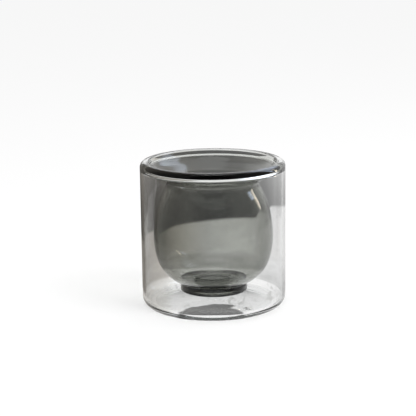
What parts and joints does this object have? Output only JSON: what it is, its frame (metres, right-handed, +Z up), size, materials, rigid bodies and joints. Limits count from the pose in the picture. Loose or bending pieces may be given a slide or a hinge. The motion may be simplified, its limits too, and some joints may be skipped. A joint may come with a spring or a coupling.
{
  "type": "double walled glass cup",
  "caption": "Double walled glass cup: straight clear outer wall, smoked round bowl hanging inside it from a fused rim, its round foot floating over a clear base.",
  "frame": {"origin": "centre of the ring that the cup stands on, at table height", "axes": "+Z up along the cup's axis, -Y towards the viewer of the picture, +X to that viewer's right"},
  "size_m": [0.08, 0.08, 0.081],
  "materials": {
    "clear_glass": "fire polished, clear and colourless",
    "smoked_glass": "fire polished, smoked grey all through",
    "seal_glass": "melted drop, clear"
  },
  "bodies": {
    "root": {"outer_sleeve": "clear_glass", "base_plate": "clear_glass", "rim_bead": "clear_glass", "inner_bowl": "smoked_glass", "foot_ring": "smoked_glass", "vent_seal": "seal_glass"}
  },
  "joints": []
}
